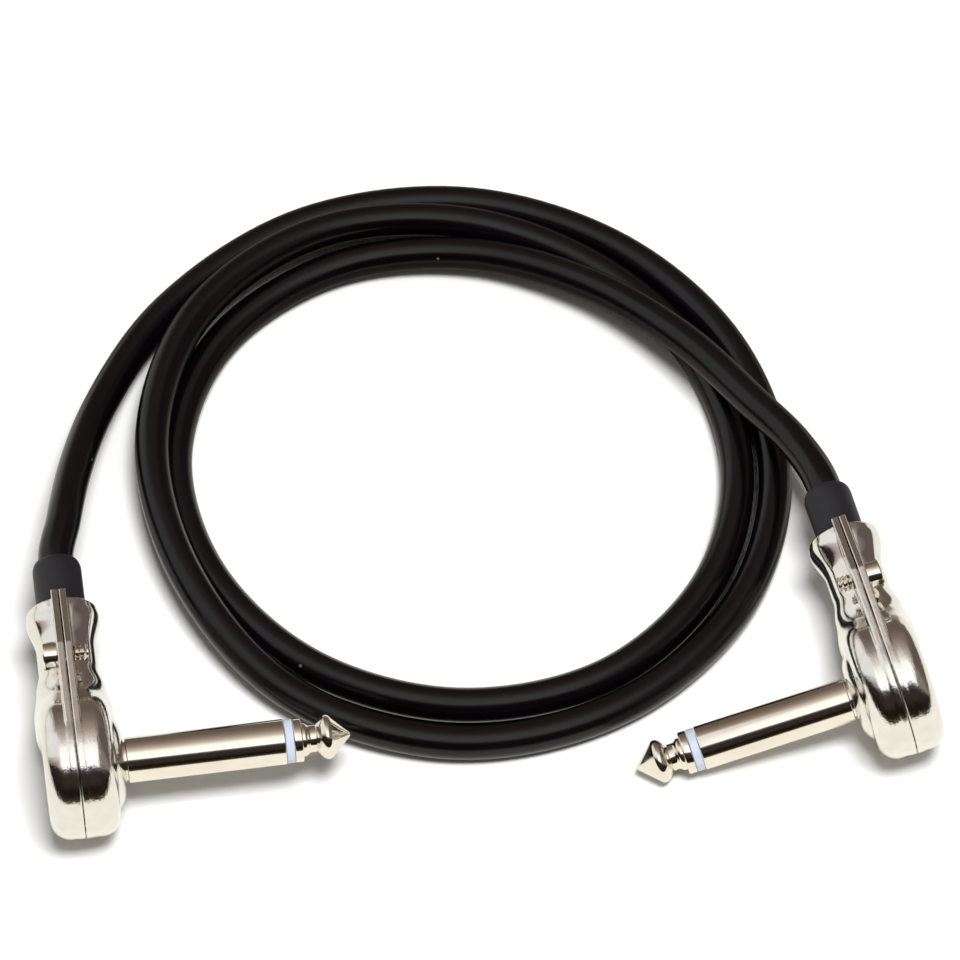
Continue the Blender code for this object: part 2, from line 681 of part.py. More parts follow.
PIECES = [
    ("base_shell", base_shell, NICKEL_CAST),
    ("cover_shell", cover_shell, NICKEL_CAST),
    ("jack_sleeve", jack_sleeve, NICKEL_TURNED),
    ("jack_insulator", jack_insulator, RING_PLASTIC),
    ("jack_tip", jack_tip, NICKEL_TURNED),
    ("rear_washer", rear_washer, WASHER_FIBRE),
    ("solder_tag", solder_tag, TAG_BRASS),
    ("tip_solder", tip_solder, SOLDER),
    ("shield_solder", shield_solder, SOLDER),
    ("heat_shrink", heat_shrink, SHRINK_BLACK),
    ("core_insulation", core_insulation, CORE_CLEAR),
    ("signal_wire", signal_wire, COPPER),
    ("shield_pigtail", shield_pigtail, TINNED_BRAID),
]


def finish(made, name, look, parent=None):
    made.name = name
    made.data.name = name
    made.data.materials.clear()
    made.data.materials.append(look)
    made.parent = parent
    if made.type == "MESH":
        made.data.shade_smooth()
        made.data.set_sharp_from_angle(angle=SHARP_ANGLE)


def plug(side, place, height, rotation, screws):
    """All pieces of one plug under one empty. screws gives the upper and lower one."""
    holder = bpy.data.objects.new(side + "_plug", None)
    bpy.context.scene.collection.objects.link(holder)
    holder.location = (*place, height)
    holder.rotation_euler = rotation
    for name, make, look in PIECES:
        finish(make(), side + "_" + name, look, holder)
    for name, make in zip(("upper_clamp_screw", "lower_clamp_screw"), screws):
        finish(make(), side + "_" + name, SCREW_STEEL, holder)
    bpy.context.view_layer.update()
    return holder.matrix_world.copy()


# the left plug stands on its rim; the right one lies the other way round, turned half over
# about its jack, so that its neck points away from the viewer too
left_plug = plug("left", LEFT_PLACE, BODY_RADIUS, (LEFT_NECK_RISE, 0, LEFT_HEADING),
                 (upper_screw, lower_screw))
right_plug = plug("right", RIGHT_PLACE, RIGHT_HEIGHT,
                  (math.pi - RIGHT_NECK_RISE, RIGHT_TIP_DROP, RIGHT_HEADING),
                  (lower_screw, upper_screw))
finish(swept(cable_route(left_plug, right_plug), CABLE_DIAMETER, 4), "cable_jacket",
       JACKET_BLACK)
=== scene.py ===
# %% [markdown]
# # A short instrument cable, dressed for its photograph
#
# Two flat right-angle jack plugs lie on a white table, joined by a black cable in a loose
# loop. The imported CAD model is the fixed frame: it says where every piece is and how big it
# is. This script gives each visible piece its real surface. It works on one kind of piece at
# a time: the camera and the cable first, then the castings, the jacks, the screws and the
# small parts inside, and last the table and the light.

import math

import bpy
import bmesh
import numpy as np
from mathutils import Euler, Matrix, Vector


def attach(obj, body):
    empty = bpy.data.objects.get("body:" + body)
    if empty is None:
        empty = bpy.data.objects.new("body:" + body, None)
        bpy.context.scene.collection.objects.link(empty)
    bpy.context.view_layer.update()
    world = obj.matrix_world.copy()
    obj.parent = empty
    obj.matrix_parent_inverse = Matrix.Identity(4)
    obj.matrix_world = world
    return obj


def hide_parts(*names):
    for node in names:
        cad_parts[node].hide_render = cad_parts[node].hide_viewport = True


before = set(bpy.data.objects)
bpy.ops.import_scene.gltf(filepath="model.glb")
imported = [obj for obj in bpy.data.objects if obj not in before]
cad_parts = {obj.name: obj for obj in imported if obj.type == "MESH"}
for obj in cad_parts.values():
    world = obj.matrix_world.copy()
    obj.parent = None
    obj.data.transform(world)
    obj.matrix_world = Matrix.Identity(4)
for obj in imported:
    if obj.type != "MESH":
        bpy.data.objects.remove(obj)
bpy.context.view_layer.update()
mm = 0.001


# %% [markdown]
# ## The camera
#
# A product photographer stands well back with a long lens, so that parallel edges stay
# nearly parallel. The viewpoint here was worked out from things of known size in the
# picture, the two 6.35 mm jacks. That gives a camera about 0.7 m away, looking down by
# 55.5 degrees, and turned by 1.5 degrees about its own line of sight. It is written as a
# place, a direction and a roll, because those are what a photographer would set.

# %% Camera
AIM = Vector((-1.25, 37.55, 0)) * mm       # the point of the table at the picture's middle
LOOK_DOWN = math.radians(55.5)
CAMERA_DISTANCE = 700 * mm
CAMERA_ROLL = math.radians(1.5)
SENSOR_WIDTH = 36.0
LENS = 179.16


def add_camera():
    forward = Vector((0, math.cos(LOOK_DOWN), -math.sin(LOOK_DOWN)))
    level_up = Vector((1, 0, 0)).cross(forward)
    right = math.cos(CAMERA_ROLL) * Vector((1, 0, 0)) + math.sin(CAMERA_ROLL) * level_up
    up = right.cross(forward)
    data = bpy.data.cameras.new("camera")
    data.sensor_width = SENSOR_WIDTH
    data.lens = LENS
    data.clip_start = 0.01
    camera = bpy.data.objects.new("camera", data)
    bpy.context.scene.collection.objects.link(camera)
    turn = Matrix((right, up, -forward)).transposed().to_4x4()
    camera.matrix_world = Matrix.Translation(AIM - forward * CAMERA_DISTANCE) @ turn
    bpy.context.scene.camera = camera
    return camera


camera = add_camera()
print("camera at", [round(v, 4) for v in camera.matrix_world.translation])


# %% [markdown]
# ## Where the plugs lie
#
# Both plugs are the same product. Everything on a plug is made once, in the plug's own
# frame: +X along the jack, +Y along the neck, +Z through the two clamp screws. One matrix
# for each plug then puts a copy where the CAD has it. The right plug lies turned half over
# about its jack, and leans until its ball touches the table.

# %% Plug frames
LEFT_PLUG = (Matrix.Translation(Vector((-55.48, -19.07, 10.15)) * mm)
             @ Euler((math.radians(3.9), 0, math.radians(9.65))).to_matrix().to_4x4())

# the roundings that rest on the table, in mm: (along the jack, out from its axis, radius)
RIM = (2.1, 7.25, 2.8)
BALL = (34.4, 2.225, 0.9)
reach, drop, spread = BALL[0] - RIM[0], RIM[1] - BALL[1], RIM[2] - BALL[2]
tip_drop = math.atan2(drop, reach) + math.asin(spread / math.hypot(drop, reach))
body_height = RIM[0] * math.sin(tip_drop) + RIM[1] * math.cos(tip_drop) + RIM[2]
RIGHT_PLUG = (Matrix.Translation(Vector((57.35, -2.57, body_height)) * mm)
              @ Euler((math.pi - math.radians(4.3), tip_drop,
                       math.radians(195.5))).to_matrix().to_4x4())
print("right plug leans by %.2f degrees" % math.degrees(tip_drop))
PLUGS = {"left": LEFT_PLUG, "right": RIGHT_PLUG}


# %% [markdown]
# ## Shader maths as expressions
#
# A node tree is a formula. Wrapping a socket in a small class lets the formula be written
# as one: `1 - mask` or `noise * 0.2 + 0.1` adds the Math nodes by itself. Colours and
# vectors must not go through a Math node, which would turn them grey, so they have methods
# that use Mix and Vector Math nodes.

# %% Socket wrapper
class Value:
    """One output socket of a node tree, with arithmetic."""

    def __init__(self, tree, socket):
        self.tree = tree
        self.socket = socket

    def _math(self, operation, *terms):
        return self.tree.node("ShaderNodeMath", {"operation": operation},
                              dict(enumerate(terms)))

    def __add__(self, other):
        return self._math("ADD", self, other)

    def __sub__(self, other):
        return self._math("SUBTRACT", self, other)

    def __rsub__(self, other):
        return self._math("SUBTRACT", other, self)

    def __mul__(self, other):
        return self._math("MULTIPLY", self, other)

    def __truediv__(self, other):
        return self._math("DIVIDE", self, other)

    def size(self):
        return self._math("ABSOLUTE", self)

    def above(self, edge, width):
        """0 below edge, 1 above edge + width, a straight ramp between."""
        return self.tree.node("ShaderNodeMapRange", {"clamp": True},
                              {"Value": self, "From Min": edge, "From Max": edge + width})

    def parts(self):
        """The three parts of this vector."""
        split = self.tree.node("ShaderNodeSeparateXYZ", {}, {0: self})
        return [Value(self.tree, socket) for socket in split.socket.node.outputs]

    def times(self, vector):
        """This vector, multiplied part by part."""
        return self.tree.node("ShaderNodeVectorMath", {"operation": "MULTIPLY"},
                              {0: self, 1: vector})

    def mixed(self, colour_a, colour_b):
        """colour_a where this value is 0, colour_b where it is 1."""
        return self.tree.node("ShaderNodeMix", {"data_type": "RGBA"},
                              {"Factor": self, 6: colour_a, 7: colour_b}, output=2)


class Tree:
    """A material's or the world's nodes."""

    def __init__(self, owner):
        owner.use_nodes = True
        self.nodes = owner.node_tree.nodes
        self.links = owner.node_tree.links

    def node(self, kind, settings=None, inputs=None, output=0):
        """Add a node: its settings first, then values or links for its sockets."""
        made = self.nodes.new(kind)
        for name, value in (settings or {}).items():
            if name == "stops":
                self._fill_ramp(made.color_ramp, value)
            else:
                setattr(made, name, value)
        for name, value in (inputs or {}).items():
            self.put(made.inputs[name], value)
        return Value(self, made.outputs[output])

    def put(self, socket, value):
        if isinstance(value, Value):
            self.links.new(value.socket, socket)
        elif hasattr(socket.default_value, "__len__") and len(value) == 3:
            size = len(socket.default_value)
            socket.default_value = (*value, 1.0)[:size]
        else:
            socket.default_value = value

    @staticmethod
    def _fill_ramp(ramp, stops):
        while len(ramp.elements) < len(stops):
            ramp.elements.new(1.0)
        for element, (position, colour) in zip(ramp.elements, stops):
            element.position = position
            element.color = (*colour, 1.0)

    def object_place(self):
        """Each point's place on the object, in metres."""
        return self.node("ShaderNodeTexCoord", output="Object")

    def ray_is(self, kind):
        """1 for a ray of this kind, 0 for any other."""
        return self.node("ShaderNodeLightPath", output="Is %s Ray" % kind)

    def bumped(self, height, strength, distance):
        return self.node("ShaderNodeBump", {}, {"Strength": strength, "Distance": distance,
                                                "Height": height})

    def noise(self, where, scale, detail=2.0, roughness=0.5):
        return self.node("ShaderNodeTexNoise", {}, {"Vector": where, "Scale": scale,
                                                    "Detail": detail,
                                                    "Roughness": roughness})


def new_material(name, constants, recipe=None):
    """A Principled material. constants go straight to its sockets; recipe(tree) returns the
    sockets that change over the surface."""
    made = bpy.data.materials.new(name)
    tree = Tree(made)
    shader = tree.nodes["Principled BSDF"]
    for socket, value in constants.items():
        tree.put(shader.inputs[socket], value)
    if recipe:
        for socket, value in recipe(tree).items():
            tree.put(shader.inputs[socket], value)
    made.diffuse_color = (*constants.get("Base Color", (0.5, 0.5, 0.5)), 1)
    return made


print("shader helpers ready")


# %% [markdown]
# ## The cable's route
#
# A real cable keeps one length and one smooth bend after another, so its route is a curve
# through a few chosen points and never a chain of straight lines. The two leads are points
# read from the photograph. The turns have one radius and one height every 30 degrees round
# the middle of the loop, as the CAD source has them. The strands ride up over each other at
# the left, and the last turn climbs over both strands at the right on its way to its plug.

# %% Cable route
LEFT_LEAD = [(-60.4, 20.3, 12.1), (-59.8, 30.0, 9.6), (-57.1, 45.2, 5.7)]
LOOP_MIDDLE = (-3.6, 38.8)
FIRST_ANGLE = 150
TURN_STEP = -30
TURNS = [
    (51.8, 3.1), (50.0, 2.6), (47.8, 2.6), (45.7, 2.6), (44.9, 2.6), (45.4, 2.6),
    (46.4, 2.6), (47.3, 2.6), (47.9, 2.7), (47.5, 3.9), (45.6, 6.3), (45.5, 7.1),
    (46.1, 6.8), (45.3, 5.8), (42.6, 4.5), (40.2, 3.2), (39.4, 2.7), (39.9, 2.6),
    (40.9, 2.6), (41.8, 2.6), (41.7, 2.6), (41.5, 2.6), (41.6, 2.6), (42.3, 2.6),
    (42.1, 2.6), (40.0, 3.1), (37.0, 4.2), (35.4, 6.0), (37.2, 8.6),
]
RIGHT_LEAD = [(38.2, 45.6, 10.2), (44.4, 37.5, 11.2)]
CABLE_DIAMETER = 5.0 * mm
JACKET_END = 12.2 * mm            # along the neck, where the jacket is stripped
SHRINK_END = 32.4 * mm            # along the neck, where the heat-shrink ends
STEPS_PER_SPAN = 12


def loop_points():
    points = []
    for number, (radius, height) in enumerate(TURNS):
        angle = math.radians(FIRST_ANGLE + TURN_STEP * number)
        points.append(Vector((LOOP_MIDDLE[0] + radius * math.cos(angle),
                              LOOP_MIDDLE[1] + radius * math.sin(angle), height)) * mm)
    return points


def smooth(points, start_direction, end_direction):
    """Cubic spans through the points; each slope is weighed from the two spans beside it."""
    lengths = [(b - a).length for a, b in zip(points, points[1:])]
    slopes = [(b - a) / length for a, b, length in zip(points, points[1:], lengths)]
    tangents = [start_direction]
    for before, after, s_before, s_after in zip(lengths, lengths[1:], slopes, slopes[1:]):
        tangents.append((s_before * after + s_after * before) / (before + after))
    tangents.append(end_direction)
    fine = []
    for number, length in enumerate(lengths):
        a, b = points[number], points[number + 1]
        slope_a, slope_b = tangents[number] * length, tangents[number + 1] * length
        for step in range(STEPS_PER_SPAN):
            u = step / STEPS_PER_SPAN
            fine.append(a * (2 * u**3 - 3 * u**2 + 1) + slope_a * (u**3 - 2 * u**2 + u)
                        + b * (3 * u**2 - 2 * u**3) + slope_b * (u**3 - u**2))
    return fine + [points[-1]]


def cable_route():
    left_exit = LEFT_PLUG @ Vector((0, SHRINK_END, 0))
    right_exit = RIGHT_PLUG @ Vector((0, SHRINK_END, 0))
    stations = ([left_exit] + [Vector(point) * mm for point in LEFT_LEAD] + loop_points()
                + [Vector(point) * mm for point in RIGHT_LEAD] + [right_exit])
    free = smooth(stations, LEFT_PLUG.to_3x3() @ Vector((0, 1, 0)),
                  -(RIGHT_PLUG.to_3x3() @ Vector((0, 1, 0))))
    inner = [JACKET_END + (SHRINK_END - JACKET_END) * share for share in (0, 0.25, 0.5, 0.75)]
    return ([LEFT_PLUG @ Vector((0, y, 0)) for y in inner] + free
            + [RIGHT_PLUG @ Vector((0, y, 0)) for y in reversed(inner)])


route = cable_route()
cable_length = sum((b - a).length for a, b in zip(route, route[1:]))
print("cable: %d points, %.1f mm" % (len(route), cable_length / mm))


# %% [markdown]
# ## The cable's jacket
#
# The jacket is soft black plastic pressed over the screen: a perfectly round tube with a
# satin skin. A curve with a round bevel is the natural model, because the tube then has the
# same thickness everywhere. It could also be a swept mesh, but the curve stays editable.
# The skin is nearly black with a faint warm purple. Handling leaves a few specks of dust
# and pale scuffs, and the roughness varies a little along it.

# %% Cable jacket
def jacket_recipe(tree):
    where = tree.object_place()
    broad = tree.noise(where, 60, 3)
    fine = tree.noise(where, 1800, 3, 0.6)
    specks = tree.node("ShaderNodeTexVoronoi", {"feature": "F1"},
                       {"Vector": where, "Scale": 260, "Randomness": 1.0})
    speck = 1 - specks.above(0.055, 0.02)
    rare = tree.noise(where, 95, 1).above(0.60, 0.04)
    dust = speck * rare
    base = broad.above(0.3, 0.4).mixed((0.0012, 0.0008, 0.0012), (0.0026, 0.0017, 0.0027))
    colour = (dust * 0.5).mixed(base, (0.22, 0.20, 0.20))
    return {"Base Color": colour, "Roughness": broad * 0.08 + 0.19,
            "Normal": tree.bumped(fine, 0.12, 0.04 * mm)}


jacket = new_material("cable_jacket_satin_black",
                      {"Base Color": (0.002, 0.0015, 0.002), "Specular IOR Level": 0.34},
                      jacket_recipe)


def round_tube(name, points, diameter, look):
    data = bpy.data.curves.new(name, "CURVE")
    data.dimensions = "3D"
    data.bevel_depth = diameter / 2
    data.bevel_resolution = 10
    data.use_fill_caps = True
    spline = data.splines.new("POLY")
    spline.points.add(len(points) - 1)
    for spot, point in zip(spline.points, points):
        spot.co = (*point, 1)
    spline.use_smooth = True
    made = bpy.data.objects.new(name, data)
    bpy.context.scene.collection.objects.link(made)
    data.materials.append(look)
    return made


cable = round_tube("cable", route, CABLE_DIAMETER, jacket)
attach(cable, "root")
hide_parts("cable_jacket")
print("cable drawn as a round tube,", cable.name)


# %% [markdown]
# ## Nickel plate
#
# Both the castings and the turned jack are plated with bright nickel, a slightly yellow
# mirror. Plain chrome grey would look wrong beside it. A mirror shows its surroundings, so
# most of its look comes from the light tent at the end of the script; the material only
# needs the right tint, a little blur, and the small unevenness that makes the edges of
# reflections ragged. Turned parts have fine rings, castings a faint orange peel.

# %% Nickel on castings and on turned parts
NICKEL = (0.84, 0.79, 0.69)


def cast_nickel(tree):
    """The plate over a casting. The streaks run round the body, square to the jack, so this
    recipe works with the plug's own millimetres, which every casting carries along."""
    where = tree.node("ShaderNodeAttribute", {"attribute_name": "plug_place"},
                      output="Vector")
    neckwards = where.parts()[1]
    streaks = tree.noise(where.times((3.2, 0.5, 0.5)), 1.0, 3, 0.6)
    peel = tree.noise(where, 1.3, 2)
    pits = tree.noise(where, 3.2, 2, 0.6)
    haze = tree.noise(where, 0.5, 3)
    on_body = 1 - neckwards.above(7, 5) * 0.9
    height = (streaks * 0.8 + pits * 0.3) * on_body + peel * 0.2
    colour = haze.above(0.35, 0.3).mixed((0.775, 0.75, 0.69), (0.83, 0.81, 0.755))
    return {"Base Color": colour, "Roughness": haze * 0.09 + 0.05,
            "Normal": tree.bumped(height, 1.0, 0.04 * mm)}


def turned_nickel(tree):
    where = tree.object_place()
    haze = tree.noise(where, 240, 3)
    grain = tree.noise(where, 2600, 2, 0.6)
    colour = haze.above(0.35, 0.3).mixed((0.82, 0.765, 0.655), (0.86, 0.81, 0.70))
    return {"Base Color": colour, "Roughness": haze * 0.07 + 0.06,
            "Normal": tree.bumped(grain, 0.15, 0.01 * mm)}


casting_nickel = new_material("nickel_on_casting", {"Base Color": NICKEL, "Metallic": 1.0},
                              cast_nickel)
jack_nickel = new_material("nickel_on_turned_brass", {"Base Color": NICKEL, "Metallic": 1.0},
                           turned_nickel)
print("nickel:", casting_nickel.name, jack_nickel.name)


# %% [markdown]
# ## The castings
#
# Each plug's body is a pair of zinc castings. In a casting nothing meets at a knife edge:
# where the neck runs into the round body, and where the lips stand on both, the metal flows
# together in a small radius. Cutting and joining sharp solids can't give that, and beveling
# the joins by hand is slow work.
#
# So the casting is written as a distance formula. Each form is a function that says how far
# a point is from its surface. A soft minimum of two distances joins them with a fillet, and
# a soft maximum cuts with a softened edge. The CAD half is copied, remeshed finely, and
# every vertex then slides to where the formula is zero.

# %% Distance formulas for simple forms
def soft_max(a, b, radius):
    """The greater of two distances, with the corner between them rounded."""
    overlap = np.maximum(radius - np.abs(a - b), 0) / radius
    return np.maximum(a, b) + overlap * overlap * radius / 4


def soft_min(a, b, radius):
    return -soft_max(-a, -b, radius)


def rounded_box(across, along, edge):
    """Distance of a profile that ends where both terms reach zero, its corner rounded."""
    outside = np.hypot(np.maximum(across + edge, 0), np.maximum(along + edge, 0))
    return outside + np.minimum(np.maximum(across, along) + edge, 0) - edge


def drum(p, radius, half_depth, edge):
    return rounded_box(np.hypot(p[:, 1], p[:, 2]) - radius, np.abs(p[:, 0]) - half_depth, edge)


def spun(p, profile, edge, axis=1):
    """A form turned about Y, or about X for axis 0, from (along, radius) points."""
    along, radius = np.array(profile).T
    reach = np.interp(p[:, axis], along, radius)
    middle, half = (along[0] + along[-1]) / 2, (along[-1] - along[0]) / 2
    return rounded_box(np.hypot(p[:, 1 - axis], p[:, 2]) - reach,
                       np.abs(p[:, axis] - middle) - half, edge)


def outline_distance(points, outline):
    """Signed distance from (y, z) points to a closed outline, negative inside."""
    a = np.array(outline)
    b = np.roll(a, -1, axis=0)
    side = b - a
    least = np.full(len(points), np.inf)
    crossings = np.zeros(len(points), int)
    for start, end, edge in zip(a, b, side):
        offset = points - start
        share = np.clip(offset @ edge / (edge @ edge), 0, 1)
        least = np.minimum(least, np.linalg.norm(offset - share[:, None] * edge, axis=1))
        spans = (start[1] > points[:, 1]) != (end[1] > points[:, 1])
        with np.errstate(divide="ignore", invalid="ignore"):
            at = start[0] + (points[:, 1] - start[1]) / edge[1] * edge[0]
        crossings += spans & (points[:, 0] < at)
    return np.where(crossings % 2 == 1, -least, least)


print("distance formulas ready")


# %% [markdown]
# The numbers below are the casting's own sizes, in millimetres, as the CAD has them.

# %% The casting as one formula
BODY_RADIUS = 10.15
RIDGE = 0.1                       # the seam's lips stand this much proud of the round body
BODY_FACE = 4.9
BODY_ROUNDING = 2.8
WALL = 1.2
SEAM = -0.2
SEAM_GAP = 0.08
LIP_GAP = 0.08                    # more of it between the lips
GAP_WIDENS = (4, 8)               # along the neck, where the gap grows
LIP_THICKNESS = 1.0
LIP_BEND = (14.3, 10.0)
LIP_END = (25.0, 6.3)
LIP_CORNER = 0.6
LIP_INSET = 0.06                  # keeps the lips' inner arc under the body's skin
NECK_RADIUS = 4.85
WAIST_RADIUS = 4.2
BELL_CREST = (22.9, 5.2)
BELL_MOUTH = (24.2, 5.0)
NECK_BORE = 3.7
JACKET_BORE = 2.8
SHRINK_BORE = 3.75
BOSS_FOOT_RADIUS = 6.5
BOSS_TOP_RADIUS = 3.95
BOSS_FACE = 6.2
BOSS_BULGE = 0.23
JACK_HOLE = 3.1
SCREW_Y = 14.3
SCREW_Z = 6.3
SCREW_HOLE = 1.55
NECK_FILLET = 2.6
BOSS_FILLET = 0.3
LIP_FILLET = 0.2
WALL_EDGE = 0.15                  # roundings where the hollow and the seam cut the skin
SEAM_EDGE = 0.12


def eased(start, end, steps):
    """Points of a smooth step between two (along, radius) points."""
    made = []
    for step in range(steps + 1):
        share = step / steps
        ease = share * share * (3 - 2 * share)
        made.append((start[0] + (end[0] - start[0]) * share,
                     start[1] + (end[1] - start[1]) * ease))
    return made


def arc(middle, radius, start, end, steps):
    angles = np.radians(np.linspace(start, end, steps + 1))
    return [(middle[0] + radius * math.cos(a), middle[1] + radius * math.sin(a))
            for a in angles]


def lip_outline():
    bend_y, bend_z = LIP_BEND
    leave = math.degrees(math.atan2(bend_z, bend_y)
                         + math.acos(BODY_RADIUS / math.hypot(bend_y, bend_z)))
    corner = (LIP_END[0] - LIP_CORNER, LIP_END[1] - LIP_CORNER)
    return (arc((0, 0), BODY_RADIUS - LIP_INSET, leave, 360 - leave, 72) + [(bend_y, -bend_z)]
            + arc((corner[0], -corner[1]), LIP_CORNER, -90, 0, 6)
            + arc(corner, LIP_CORNER, 0, 90, 6) + [(bend_y, bend_z)])


def boss_flank(steps=12):
    """The dome that carries the jack: a cone with a slight swell."""
    foot = Vector((BODY_FACE, BOSS_FOOT_RADIUS))
    top = Vector((BOSS_FACE, BOSS_TOP_RADIUS))
    outwards = Vector((foot.y - top.y, top.x - foot.x)).normalized()
    shares = [step / steps for step in range(steps + 1)]
    return [tuple(foot.lerp(top, share) + outwards * 4 * BOSS_BULGE * share * (1 - share))
            for share in shares]


OUTLINE = lip_outline()
NECK = ([(5.0, NECK_RADIUS), (8.0, NECK_RADIUS)]
        + eased((11.4, NECK_RADIUS), (14.8, WAIST_RADIUS), 12)
        + eased((18.2, WAIST_RADIUS), BELL_CREST, 12) + [BELL_MOUTH])
BORE = ([(5.0, NECK_BORE), (10.4, NECK_BORE), (12.6, JACKET_BORE), (18.8, JACKET_BORE),
         (18.95, SHRINK_BORE), (20.6, SHRINK_BORE)]
        + eased((20.8, SHRINK_BORE), (24.2, 4.45), 6) + [(30.0, 4.45)])
BOSS = [(4.3, BOSS_FOOT_RADIUS)] + boss_flank()


def casting_distance(p, base_half):
    body = drum(p, BODY_RADIUS - RIDGE, BODY_FACE, BODY_ROUNDING)
    body = soft_min(body, spun(p, NECK, 0.25), NECK_FILLET)
    body = soft_min(body, spun(p, BOSS, 0.1, axis=0), BOSS_FILLET)
    lips = rounded_box(outline_distance(p[:, 1:], OUTLINE),
                       np.abs(p[:, 0] - SEAM) - LIP_THICKNESS - SEAM_GAP / 2, 0.1)
    body = soft_min(body, lips, LIP_FILLET)
    hollow = drum(p, BODY_RADIUS - RIDGE - WALL, BODY_FACE - WALL, BODY_ROUNDING - WALL)
    hollow = np.minimum(hollow, spun(p, BORE, 0.05))
    hollow = np.minimum(hollow, spun(p, [(0, JACK_HOLE), (9, JACK_HOLE)], 0.05, axis=0))
    for z in (SCREW_Z, -SCREW_Z):
        hollow = np.minimum(hollow, np.hypot(p[:, 1] - SCREW_Y, p[:, 2] - z) - SCREW_HOLE)
    shell = soft_max(body, -hollow, WALL_EDGE)
    start, end = GAP_WIDENS
    gap = SEAM_GAP + LIP_GAP * np.clip((p[:, 1] - start) / (end - start), 0, 1)
    cut = (SEAM + gap / 2 - p[:, 0]) if base_half else (p[:, 0] - SEAM + gap / 2)
    return soft_max(shell, cut, SEAM_EDGE)


print("casting outline has", len(OUTLINE), "points")


# %% [markdown]
# The remesh gives an even net of small squares. Newton's method then moves every vertex
# along the slope of the formula until its distance is zero, which takes a few steps.

# %% Make the two halves and set them on both plugs
REMESH_SIZE = 0.2


def half_casting(node, base_half):
    """A fine mesh of one casting half in the plug's own frame, in millimetres."""
    copy = bpy.data.objects.new("half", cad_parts[node].data.copy())
    copy.data.transform(Matrix.Scale(1 / mm, 4) @ LEFT_PLUG.inverted())
    bpy.context.scene.collection.objects.link(copy)
    weld = copy.modifiers.new("weld", "WELD")
    weld.merge_threshold = 0.0001
    remesh = copy.modifiers.new("remesh", "REMESH")
    remesh.mode = "VOXEL"
    remesh.voxel_size = REMESH_SIZE
    mesh = bpy.data.meshes.new_from_object(
        copy.evaluated_get(bpy.context.evaluated_depsgraph_get()))
    bpy.data.objects.remove(copy, do_unlink=True)
    points = np.empty(len(mesh.vertices) * 3)
    mesh.vertices.foreach_get("co", points)
    points = points.reshape(-1, 3)
    settle(points, base_half)
    mesh.vertices.foreach_set("co", points.ravel())
    mesh.update()
    return mesh


def settle(points, base_half, rounds=7, probe=0.01, longest=0.12):
    """Slide points to the zero of the casting's distance formula."""
    for _ in range(rounds):
        distance = casting_distance(points, base_half)
        slope = np.empty_like(points)
        for axis in range(3):
            step = np.zeros(3)
            step[axis] = probe
            slope[:, axis] = (casting_distance(points + step, base_half)
                              - casting_distance(points - step, base_half)) / (2 * probe)
        size = np.maximum((slope ** 2).sum(axis=1), 0.25)
        move = -(distance / size)[:, None] * slope
        length = np.linalg.norm(move, axis=1, keepdims=True)
        points += move * np.minimum(1, longest / np.maximum(length, 1e-9))


def place(mesh, name, side, look, node):
    """Put a copy of a plug-frame mesh, in millimetres, on one plug in a CAD node's place.
    The copy keeps its own millimetres as an attribute, for the finishes to read."""
    copy = mesh.copy()
    spots = np.empty(len(copy.vertices) * 3)
    copy.vertices.foreach_get("co", spots)
    copy.attributes.new("plug_place", "FLOAT_VECTOR", "POINT").data.foreach_set("vector", spots)
    copy.transform(PLUGS[side] @ Matrix.Scale(mm, 4))
    copy.materials.clear()
    copy.materials.append(look)
    copy.shade_smooth()
    made = bpy.data.objects.new(name, copy)
    bpy.context.scene.collection.objects.link(made)
    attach(made, "root")
    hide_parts(node)
    return made


for half, base_half in (("base", True), ("cover", False)):
    mesh = half_casting("left_%s_shell" % half, base_half)
    for side in PLUGS:
        place(mesh, "%s_%s_casting" % (side, half), side, casting_nickel,
              "%s_%s_shell" % (side, half))
    print(half, "half:", len(mesh.polygons), "faces")


# %% [markdown]
# ## The jack
#
# The jack is turned on a lathe from brass bar, so its model is turned too: a profile spun
# about the jack's axis, with 96 sides so that its mirror finish shows no facets. The sleeve
# carries the ground contact, a pale ring insulates it, and the tip with its latching groove
# carries the signal.

# %% Lathe
LATHE_SIDES = 96


def lathe(profile, along_y=False, sides=LATHE_SIDES, sharp=math.radians(30)):
    """Spin an (along, radius) profile. One that starts on the axis is a solid, any other a
    ring closed on itself."""
    bm = bmesh.new()
    verts = [bm.verts.new((0, along, radius) if along_y else (along, 0, radius))
             for along, radius in profile]
    edges = [bm.edges.new(pair) for pair in zip(verts, verts[1:])]
    if profile[0][1] > 0:
        edges.append(bm.edges.new((verts[-1], verts[0])))
    bmesh.ops.spin(bm, geom=verts + edges, cent=(0, 0, 0), angle=2 * math.pi, steps=sides,
                   axis=(0, 1, 0) if along_y else (1, 0, 0), use_merge=True)
    bmesh.ops.remove_doubles(bm, verts=bm.verts, dist=1e-5)
    bmesh.ops.recalc_face_normals(bm, faces=bm.faces)
    mesh = bpy.data.meshes.new("turned")
    bm.to_mesh(mesh)
    bm.free()
    return mesh


def rounded(profile, radii, steps=5):
    """The profile with some corners rounded: radii maps a corner's number to its radius."""
    made = []
    for number, corner in enumerate(profile):
        radius = radii.get(number, 0)
        if not radius:
            made.append(corner)
            continue
        here = Vector(corner)
        before = (Vector(profile[number - 1]) - here).normalized()
        after = (Vector(profile[(number + 1) % len(profile)]) - here).normalized()
        half_angle = before.angle(after) / 2
        back = radius / math.tan(half_angle)
        centre = here + (before + after).normalized() * (radius / math.sin(half_angle))
        start, end = here + before * back - centre, here + after * back - centre
        turn = start.angle_signed(end)
        for step in range(steps + 1):
            angle = turn * step / steps
            c, s = math.cos(angle), math.sin(-angle)
            made.append((centre.x + start.x * c - start.y * s,
                         centre.y + start.x * s + start.y * c))
    return made


print("lathe ready,", LATHE_SIDES, "sides")


